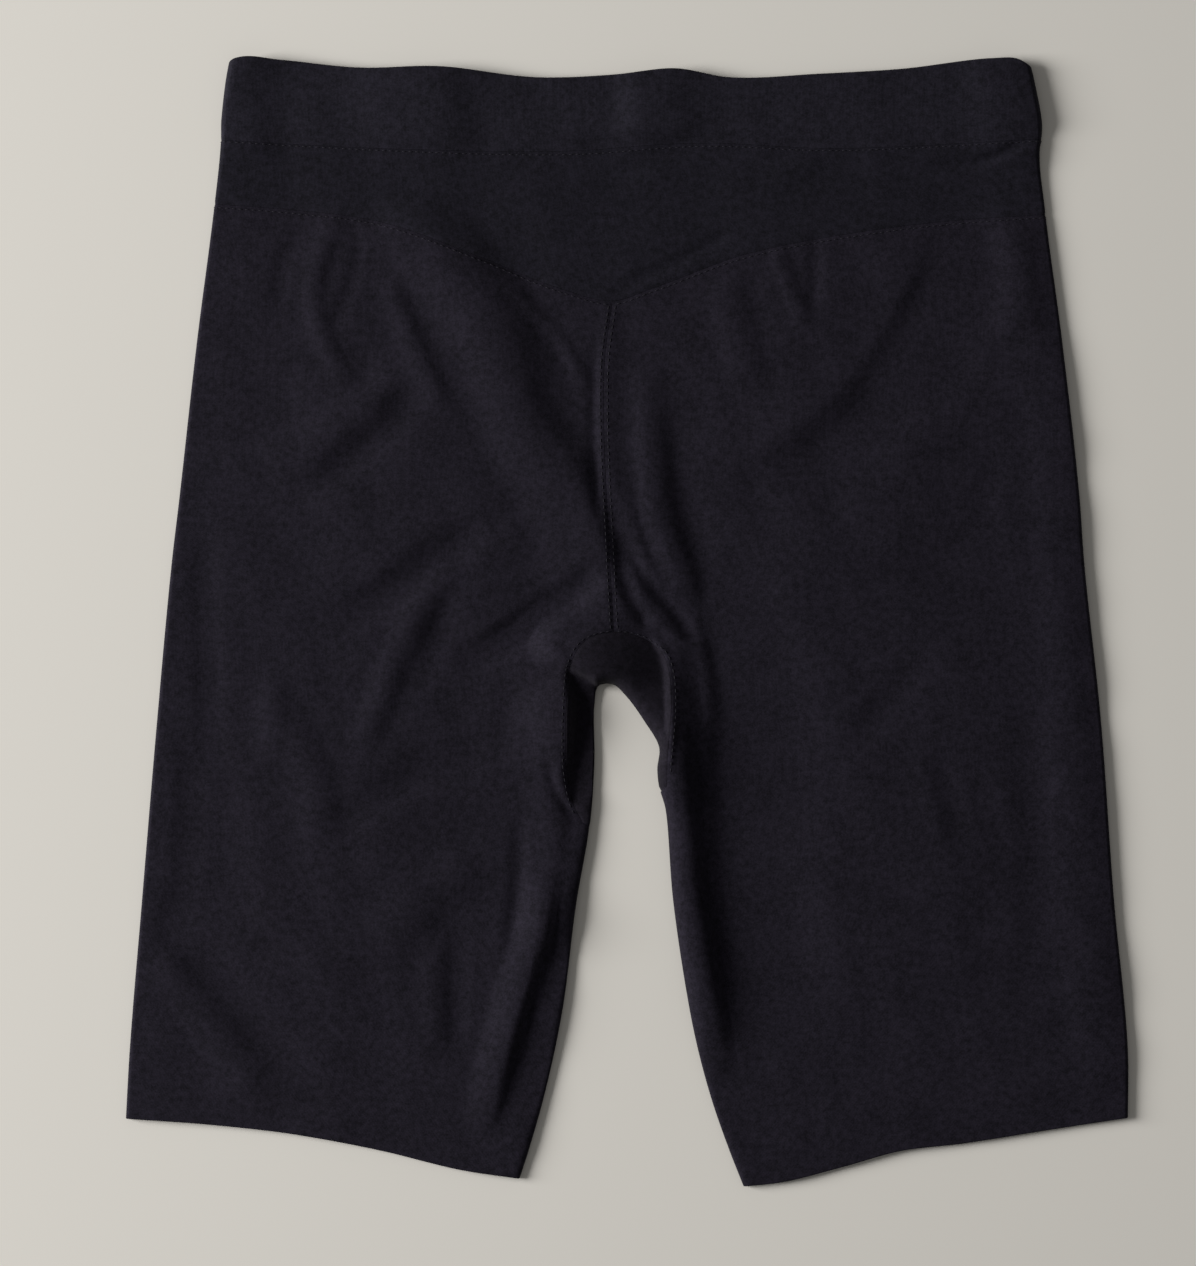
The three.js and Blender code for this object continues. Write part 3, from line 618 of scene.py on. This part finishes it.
def leg_rows(side):
    """The rows of a leg: the first follows the yoke's seam, the last the hem, the rest ease between."""
    seat_shares = spaced(SEAT_HEIGHT, True, False)
    leg_shares = spaced(INSEAM_HEIGHT, False, True)
    back = inner_ends(side, BACK, seat_shares, leg_shares)
    front = inner_ends(side, FRONT, seat_shares, leg_shares)
    yoke_x = side_x(side, line_down(YOKE_BACK, side_x(side, YOKE_SIDE)))
    hem_x = side_x(side, line_down(HEM[side], side_x(side, LENGTH)))
    stops = [line_down(YOKE_BACK, yoke_x), SIDE_DOWN["gusset top"], SIDE_DOWN["gusset tip"]]
    stops.append(line_down(HEM[side], hem_x))
    lead = ROW_PITCH / (stops[3] - stops[2])
    outer_down = np.concatenate([
        stops[0] + (stops[1] - stops[0]) * seat_shares[:-1],
        stops[1] + (stops[2] - stops[1]) * np.arange(GUSSET_ROWS + 1) / GUSSET_ROWS,
        stops[2] + (stops[3] - stops[2]) * (lead + (1 - lead) * leg_shares),
    ])
    outer = np.stack([side_x(side, outer_down), outer_down], axis=1)
    closed_from = len(back) - len(leg_shares)

    def line_of(inner, yoke, i):
        done = (inner[i, 1] - inner[0, 1]) / (inner[-1, 1] - inner[0, 1])

        def stray(rows, k, share):
            x = inner[k, 0] + (outer[k, 0] - inner[k, 0]) * share
            return line_down(rows, x) - (inner[k, 1] + (outer[k, 1] - inner[k, 1]) * share)

        def line(share, _):
            straight = inner[i, 1] + (outer[i, 1] - inner[i, 1]) * share
            by_yoke = stray(yoke, 0, share) * (1 - done) ** 2
            by_hem = stray(HEM[side], -1, share) * done**2
            return straight + by_yoke + by_hem

        return line

    return [
        half_row(
            back[i], front[i], outer[i],
            line_of(back, YOKE_BACK, i), line_of(front, YOKE_FRONT, i), i >= closed_from,
        )
        for i in range(len(back))
    ]


def gusset_rows():
    """The gusset's rows, from the left tip over the crotch to the right tip."""
    halves = []
    for side in ("left", "right"):
        spots = np.unique(seam_share(TIP_SHARE))
        back = plan_curve(GUSSET_SEAM[side, BACK], spots)
        front = plan_curve(GUSSET_SEAM[side, FRONT], spots)
        edge = plan_curve(INNER_EDGE, wing_share(side, EDGE_LEAD * spots))
        half = [gusset_row(b, e, f) for b, e, f in zip(back, edge, front)]
        halves.append(half + tucked_rows(side, back[-1], edge[-1], front[-1]))
    return halves[0][::-1] + halves[1][1:]


def tucked_rows(side, back, edge, front):
    """The gusset's tip beyond its seams, narrower row by row and deeper in the leg."""
    first = wing_share(side, EDGE_LEAD * TIP_SHARE)
    last = wing_share(side, TUCK_SHARE)
    rows = []
    for share in np.arange(1, TUCK_ROWS + 1) / TUCK_ROWS:
        spot = plan_curve(INNER_EDGE, first + (last - first) * share)[0]
        narrow = 1 - TUCK_NARROWING * share
        ends = [spot + (end - edge) * narrow for end in (back, front)]
        row = gusset_row(ends[0], spot, ends[1])
        row["tuck"] = np.full(len(row["x"]), TUCK * min(1, 2 * share))
        rows.append(row)
    return rows


def gusset_row(back, edge, front):
    """A row across the gusset: from its seam on the back, out over the inner edge, to the front."""
    sewn_end = (GUSSET_SEAM_REACH, GUSSET_SEAM_STEPS, GUSSET_STEPS)
    over = shares(apart(edge, back), roll_at(edge), ROLL_STEPS, *sewn_end)[::-1]
    under = shares(apart(edge, front), under_at(edge), UNDER_STEPS, *sewn_end)[1:]
    row = {}
    for k, name in enumerate(("x", "down")):
        on_back = edge[k] + (back[k] - edge[k]) * over
        on_front = edge[k] + (front[k] - edge[k]) * under
        row[name] = np.concatenate([on_back, on_front])
    row["layer"] = np.concatenate([np.full(len(over), BACK), np.full(len(under), FRONT)])
    row["layer"][len(over) - 1] = EDGE
    row["tuck"] = np.zeros(len(row["x"]))
    return row


def grid_of(rows, wall):
    x, down, layer = (np.stack([row[name] for row in rows]) for name in ("x", "down", "layer"))
    return place(x, down, layer, wall), layer


def grid_normals(points):
    """The mean of the faces' directions round each point of a grid."""
    a = points[1:, 1:] - points[:-1, :-1]
    b = points[:-1, 1:] - points[1:, :-1]
    face = np.cross(a, b)
    face /= np.maximum(np.linalg.norm(face, axis=2, keepdims=True), TINIEST)
    total = np.zeros_like(points)
    for i in (0, 1):
        for j in (0, 1):
            total[i : i + face.shape[0], j : j + face.shape[1]] += face
    return total / np.linalg.norm(total, axis=2, keepdims=True)


def steps_in(points, axis):
    """The length of cloth from a grid's first border, along one axis."""
    gaps = np.linalg.norm(np.diff(points, axis=axis), axis=2)
    pad = [(0, 0), (0, 0)]
    pad[axis] = (1, 0)
    return np.pad(np.cumsum(gaps, axis=axis), pad)


def border_distances(points):
    """How far each point is from the first row, the last row, the first column and the last."""
    by_row, by_column = steps_in(points, 0), steps_in(points, 1)
    return by_row, by_row[-1:] - by_row, by_column, by_column[:, -1:] - by_column


def pulled(points, normals, sewn):
    """The grid with its sewn borders drawn back by half a seam gap."""
    moved = points.copy()
    borders = [(0, slice(None)), (-1, slice(None)), (slice(None), 0), (slice(None), -1)]
    inner = [(1, slice(None)), (-2, slice(None)), (slice(None), 1), (slice(None), -2)]
    for border, inside, is_sewn in zip(borders, inner, sewn):
        if not is_sewn:
            continue
        run = np.gradient(points[border], axis=0)
        way = np.cross(normals[border], run)
        way /= np.maximum(np.linalg.norm(way, axis=1, keepdims=True), TINY)
        sign = np.sign(((points[inside] - points[border]) * way).sum(axis=1, keepdims=True))
        moved[border] += way * sign * SEAM_GAP / 2
    return moved


def cloth_piece(name, rows, wall, sewn, band=False):
    """A closed wall of cloth round a grid, drawn in at its sewn borders.

    sewn says which borders are: the first row, the last row, the first column, the last column.
    """
    points, layer = grid_of(rows, wall)
    normals = grid_normals(points)
    if normals[..., 2][layer == BACK].mean() < 0:
        normals = -normals
    distances = border_distances(points)
    dip = np.zeros(points.shape[:2])
    for distance, is_sewn in zip(distances, sewn):
        if is_sewn:
            dip = np.maximum(dip, SEAM_DIP * (1 - soft_step(distance / SEAM_WIDTH)))
    half = np.full(points.shape[:2], wall / 2)
    if band:
        thin = soft_step(distances[1] / BAND_TAPER)
        half = CLOTH / 2 + (half - CLOTH / 2) * thin
        drop = (1 - thin) * 1.5 * (wall - CLOTH)
        points[..., 2] -= np.where(layer == BACK, drop, (1 - thin) * (wall - CLOTH) / 2)
        half = half * np.sqrt(1 - np.clip(1 - distances[0] / BAND_ROUND, 0, BAND_CLOSING) ** 2)
    cut = [distance for distance, is_sewn in zip(distances[:2], sewn[:2]) if not is_sewn]
    if cut and not band:
        half = half * (HEM_WALL + (1 - HEM_WALL) * soft_step(cut[0] / HEM_REACH))
    if "tuck" in rows[0]:
        points = points - normals * np.stack([row["tuck"] for row in rows])[..., None]
    points = pulled(points, normals, sewn)
    outer = points + normals * (half - dip)[..., None]
    inner = points - normals * half[..., None]
    middle = points.shape[1] // 2 if layer[0, 0] == FRONT else 0
    across = distances[2] - distances[2][:, middle : middle + 1]
    pattern = np.stack([across, np.stack([row["down"] for row in rows])], axis=-1) * MM
    return wall_mesh(name, outer * MM, inner * MM, pattern), outer, normals


def new_piece(name, places, faces):
    """A smooth mesh as an object of its own."""
    mesh = bpy.data.meshes.new(name)
    mesh.from_pydata(places.tolist(), [], faces)
    mesh.update()
    mesh.shade_smooth()
    piece = bpy.data.objects.new(name, mesh)
    bpy.context.collection.objects.link(piece)
    return piece


def wall_mesh(name, outer, inner, pattern):
    """A mesh of two grids, one over the other, closed round their borders."""
    rows, columns = outer.shape[:2]
    ids = np.arange(rows * columns).reshape(rows, columns)
    under = ids + rows * columns

    def quads(a, b, c, d):
        return np.stack([np.ravel(k) for k in (a, b, c, d)], axis=1)

    faces = np.vstack([
        quads(ids[:-1, :-1], ids[1:, :-1], ids[1:, 1:], ids[:-1, 1:]),
        quads(under[:-1, 1:], under[1:, 1:], under[1:, :-1], under[:-1, :-1]),
        quads(under[:-1, 0], under[1:, 0], ids[1:, 0], ids[:-1, 0]),
        quads(ids[:-1, -1], ids[1:, -1], under[1:, -1], under[:-1, -1]),
        quads(ids[0, :-1], ids[0, 1:], under[0, 1:], under[0, :-1]),
        quads(under[-1, :-1], under[-1, 1:], ids[-1, 1:], ids[-1, :-1]),
    ])
    places = np.vstack([outer.reshape(-1, 3), inner.reshape(-1, 3)])
    corner = [places[faces[:, k]] for k in range(4)]
    enclosed = 0
    for a, b in ((1, 2), (2, 3)):
        enclosed += (corner[0] * np.cross(corner[a], corner[b])).sum()
    if enclosed < 0:
        faces = faces[:, ::-1]
    piece = new_piece(name, places, faces.tolist())
    layer = piece.data.uv_layers.new(name="knit_rows")
    spots = np.vstack([pattern.reshape(-1, 2)] * 2)
    layer.data.foreach_set("uv", spots[faces.ravel()].ravel())
    return piece


def stitch_mesh(name, lines):
    """Short rounded stitches along lines on the outside of the cloth, both ends drawn into it."""
    turns = np.linspace(0, 2 * np.pi, THREAD_SIDES, endpoint=False)
    ring = np.arange(THREAD_SIDES)
    following = np.roll(ring, -1)
    ends = np.array([-0.5, -0.3, 0.3, 0.5]) * STITCH_LENGTH
    sink = np.array([-1.2, 0.3, 0.3, -1.2]) * THREAD
    thickness = np.array([0.5, 1, 1, 0.5]) * THREAD
    places, faces = [], []
    for points, normals in lines:
        run = np.concatenate([[0], np.cumsum(np.linalg.norm(np.diff(points, axis=0), axis=1))])
        for middle in np.arange(STITCH_PITCH / 2, run[-1], STITCH_PITCH):
            spine = np.stack([np.interp(middle + ends, run, points[:, k]) for k in range(3)], axis=1)
            out = np.array([np.interp(middle, run, normals[:, k]) for k in range(3)])
            out /= np.linalg.norm(out)
            side = np.cross(spine[-1] - spine[0], out)
            side /= np.linalg.norm(side)
            first = len(places) * len(ends) * THREAD_SIDES
            round_it = np.cos(turns)[:, None] * out + np.sin(turns)[:, None] * side
            spine = spine + out * sink[:, None]
            places.append(spine[:, None] + round_it[None] * thickness[:, None, None])
            for low in first + THREAD_SIDES * np.arange(len(ends) - 1):
                high = low + THREAD_SIDES
                around = [low + ring, low + following, high + following, high + ring]
                faces += np.stack(around, axis=1).tolist()
            faces.append((first + ring[::-1]).tolist())
            faces.append((first + (len(ends) - 1) * THREAD_SIDES + ring).tolist())
    corners = np.concatenate(places).reshape(-1, 3) * MM
    corners[:, 2] = np.maximum(corners[:, 2], 0)
    return new_piece(name, corners, faces)


def grid_line(outside, rows, columns):
    """A line of a piece's outside, by its rows and columns."""
    points, normals = outside
    return points[rows, columns], normals[rows, columns]


# Finishes. Scales are in noise cells to the metre, and the loops' sizes in millimetres.
KNIT_ROUGHNESS = 0.85
KNIT_SPECULAR = 0.1
KNIT_SHEEN = 0.02
KNIT_SHEEN_ROUGHNESS = 0.5
FINE, MOTTLE, WIDE = (1300, 2), (380, 3), (60, 4)  # scale and detail of each size of spot
FINE_SHARE, MOTTLE_SHARE, WIDE_SHARE = 0.42, 0.44, 0.14
TONE_ENDS = (0.37, 0.63)  # the yarns' two tones run between these shares
WALE = 0.62  # width of a column of loops
COURSE = 0.5  # height of a row of loops
LOOP_DEPTH = 0.35
RIB_DEPTH = 0.65
MOTTLE_DEPTH = 0.8
KNIT_BUMP = 0.35
KNIT_RELIEF = 0.00012  # metres
THREAD_ROUGHNESS = 0.65
THREAD_SPECULAR = 0.2
THREAD_PLY = 2500


def new_material(name, roughness, specular):
    """A material with its tree of nodes and its shader."""
    material = bpy.data.materials.new(name)
    material.use_nodes = True
    shader = material.node_tree.nodes["Principled BSDF"]
    shader.inputs["Roughness"].default_value = roughness
    shader.inputs["Specular IOR Level"].default_value = specular
    return material, material.node_tree, shader


def spots_of(tree, place_on, scale, detail=2):
    """Soft spots all through the cloth or the thread."""
    node = tree.nodes.new("ShaderNodeTexNoise")
    node.inputs["Scale"].default_value = scale
    node.inputs["Detail"].default_value = detail
    tree.links.new(place_on.outputs["Object"], node.inputs["Vector"])
    return node.outputs["Fac"]


def tint(tree, shader, share, tones, ends=(0, 1)):
    """The shader's colour, from one tone to the other as the share goes from end to end."""
    ramp = tree.nodes.new("ShaderNodeValToRGB")
    for stop, tone, end in zip(ramp.color_ramp.elements, tones, ends):
        stop.position = end
        stop.color = (*tone, 1)
    tree.links.new(share, ramp.inputs["Fac"])
    tree.links.new(ramp.outputs["Color"], shader.inputs["Base Color"])


def thread_material(name, *tones):
    """Matt sewing thread of two near tones."""
    material, tree, shader = new_material(name, THREAD_ROUGHNESS, THREAD_SPECULAR)
    place_on = tree.nodes.new("ShaderNodeTexCoord")
    tint(tree, shader, spots_of(tree, place_on, THREAD_PLY), tones)
    return material


def knit_material(name, *tones):
    """Fine jersey: two mottled yarn tones, rows of small loops and a dull sheen."""
    material, tree, shader = new_material(name, KNIT_ROUGHNESS, KNIT_SPECULAR)
    shader.inputs["Sheen Weight"].default_value = KNIT_SHEEN
    shader.inputs["Sheen Roughness"].default_value = KNIT_SHEEN_ROUGHNESS
    place_on = tree.nodes.new("ShaderNodeTexCoord")
    rows_on = tree.nodes.new("ShaderNodeUVMap")
    rows_on.uv_map = "knit_rows"

    def math(kind, *values):
        node = tree.nodes.new("ShaderNodeMath")
        node.operation = kind
        for socket, value in zip(node.inputs, values):
            if isinstance(value, (int, float)):
                socket.default_value = value
            else:
                tree.links.new(value, socket)
        return node.outputs[0]

    fine, mottle, wide = (spots_of(tree, place_on, *size) for size in (FINE, MOTTLE, WIDE))
    mix = math("ADD", math("MULTIPLY", fine, FINE_SHARE), math("MULTIPLY", mottle, MOTTLE_SHARE))
    mix = math("ADD", mix, math("MULTIPLY", wide, WIDE_SHARE))
    tint(tree, shader, mix, tones, TONE_ENDS)

    split = tree.nodes.new("ShaderNodeSeparateXYZ")
    tree.links.new(rows_on.outputs["UV"], split.inputs["Vector"])
    wale = math("MULTIPLY", split.outputs["X"], 1 / (WALE * MM))
    course = math("MULTIPLY", split.outputs["Y"], 1 / (COURSE * MM))
    beside = math("ABSOLUTE", math("SUBTRACT", math("FRACT", wale), 0.5))
    loops = math("SINE", math("MULTIPLY", math("ADD", course, beside), 2 * np.pi))
    ribs = math("SINE", math("MULTIPLY", math("FRACT", wale), np.pi))
    loops = math("ADD", math("MULTIPLY", loops, LOOP_DEPTH), RIB_DEPTH)
    knit = math("ADD", math("MULTIPLY", ribs, loops), math("MULTIPLY", mottle, MOTTLE_DEPTH))
    bump = tree.nodes.new("ShaderNodeBump")
    bump.inputs["Strength"].default_value = KNIT_BUMP
    bump.inputs["Distance"].default_value = KNIT_RELIEF
    tree.links.new(knit, bump.inputs["Height"])
    tree.links.new(bump.outputs["Normal"], shader.inputs["Normal"])
    return material


leg_knit = knit_material("leg_knit", (0.0034, 0.0027, 0.0055), (0.0130, 0.0108, 0.0184))
band_knit = knit_material("band_knit", (0.0026, 0.0023, 0.0045), (0.0105, 0.0093, 0.0158))
waist_knit = knit_material("waist_knit", (0.0036, 0.0032, 0.0058), (0.0134, 0.0119, 0.0194))
# The gusset's knit is darker than the legs' as painted shade, for the shade that falls in the hollow of
# the crotch.
gusset_knit_painted_shade = knit_material("gusset_knit_painted_shade", (0.0030, 0.0023, 0.0045), (0.0106, 0.0086, 0.0144))
thread = thread_material("thread", (0.0050, 0.0042, 0.0074), (0.0120, 0.0104, 0.0168))

# The pieces.
BAND_LINES = {BACK: WAIST, FRONT: WAIST}
SEAM_LINES = {BACK: BAND_SEAM, FRONT: BAND_SEAM}
YOKE_LINES = {BACK: YOKE_BACK, FRONT: YOKE_FRONT}
band_rows = loop_rows(spaced(BAND_HEIGHT, True, True), BAND_LINES, SEAM_LINES)
waistband, _, _ = cloth_piece(
    "waistband_cloth", band_rows, BAND_CLOTH, (False, True, True, True), band=True,
)
yoke_rows = loop_rows(spaced(YOKE_HEIGHT, True, True), SEAM_LINES, YOKE_LINES)
yoke, *yoke_outside = cloth_piece("yoke_cloth", yoke_rows, CLOTH, (True, True, True, True))
legs = {}
seams = {yoke.name: [grid_line(yoke_outside, SEAM_STITCH_ROW, slice(None))]}
# A leg is stitched down the middle seam and on along the gusset's, to just before its tip.
sewn_rows = slice(SEAM_STITCH_ROW, len(spaced(SEAT_HEIGHT, True, False)) + GUSSET_ROWS - 2)
for side in ("left", "right"):
    leg, *leg_outside = cloth_piece(
        f"leg_{side}_cloth", leg_rows(side), CLOTH, (True, False, True, True),
    )
    seams[leg.name] = [
        grid_line(leg_outside, SEAM_STITCH_ROW, slice(BACK_STITCH_COLUMN, FRONT_STITCH_COLUMN)),
        grid_line(leg_outside, sewn_rows, BACK_STITCH_COLUMN),
        grid_line(leg_outside, sewn_rows, FRONT_STITCH_COLUMN),
    ]
    legs[side] = leg
gusset, _, _ = cloth_piece("gusset_cloth", gusset_rows(), CLOTH, (False, False, True, True))

# What each piece stands for, its finish, and the size that it was cut to.
CUTS = [
    # piece, node, slot, material, width, length, area in square metres
    (waistband, "waistband", "band", waist_knit, 0.735, 0.041, 0.0265),
    (yoke, "yoke", "knit", band_knit, 0.750, 0.072, 0.0302),
    (legs["left"], "leg_left", "knit", leg_knit, 0.430, 0.440, 0.1578),
    (legs["right"], "leg_right", "knit", leg_knit, 0.430, 0.440, 0.1651),
    # The gusset's darker knit is painted shade.
    (gusset, "gusset", "knit", gusset_knit_painted_shade, 0.190, 0.062, 0.0060),
]
for piece, node, slot, material, width, length, area in CUTS:
    piece.data.materials.append(material)
    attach(piece, "root")
    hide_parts(node)
    if piece.name in seams:
        stitched = stitch_mesh(f"{node}_stitches", seams[piece.name])
        stitched.data.materials.append(thread)
        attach(stitched, "root")

# Floor, light and camera, in metres and watts.
FLOOR_SIZE = 8
FLOOR_TONE = (0.62, 0.60, 0.56, 1)
FLOOR_ROUGHNESS = 0.9
FLOOR_SPECULAR = 0.1
ROOM_TONE = (1.0, 0.99, 0.97, 1)
ROOM_STRENGTH = 0.2
WINDOW_PLACE = (-3.32, 0.33, 1.36)
WINDOW_SIZE = 1.83
WINDOW_POWER = 255
WINDOW_TONE = (1.0, 0.99, 0.975)
CAMERA_PLACE = (-0.01305, -0.00495, 2.0)
CAMERA_LENS = 126.4  # millimetres, as the sensor
CAMERA_SENSOR = 36

bpy.ops.mesh.primitive_plane_add(size=FLOOR_SIZE, location=(0, 0, 0))
floor = bpy.context.object
floor.name = "floor"
paper, _, paper_shader = new_material("floor_sheet", FLOOR_ROUGHNESS, FLOOR_SPECULAR)
paper_shader.inputs["Base Color"].default_value = FLOOR_TONE
floor.data.materials.append(paper)

world = bpy.data.worlds.new("room")
bpy.context.scene.world = world
world.use_nodes = True
room = world.node_tree.nodes["Background"]
room.inputs["Color"].default_value = ROOM_TONE
room.inputs["Strength"].default_value = ROOM_STRENGTH

light = bpy.data.lights.new("window", "AREA")
light.shape = "DISK"
light.size = WINDOW_SIZE
light.energy = WINDOW_POWER
light.color = WINDOW_TONE
window = bpy.data.objects.new("window", light)
bpy.context.collection.objects.link(window)
window.location = WINDOW_PLACE
# It faces the middle of the garment.
across, along_y, up = WINDOW_PLACE
tilt = np.pi / 2 - np.arctan2(up, np.hypot(across, along_y))
window.rotation_euler = (tilt, 0, np.arctan2(across, -along_y))

camera = bpy.data.objects.new("camera", bpy.data.cameras.new("camera"))
bpy.context.collection.objects.link(camera)
camera.location = CAMERA_PLACE
camera.data.lens = CAMERA_LENS
camera.data.sensor_width = CAMERA_SENSOR
camera.data.clip_start = 0.1
camera.data.clip_end = 30
bpy.context.scene.camera = camera
bpy.context.scene.view_settings.view_transform = "Standard"
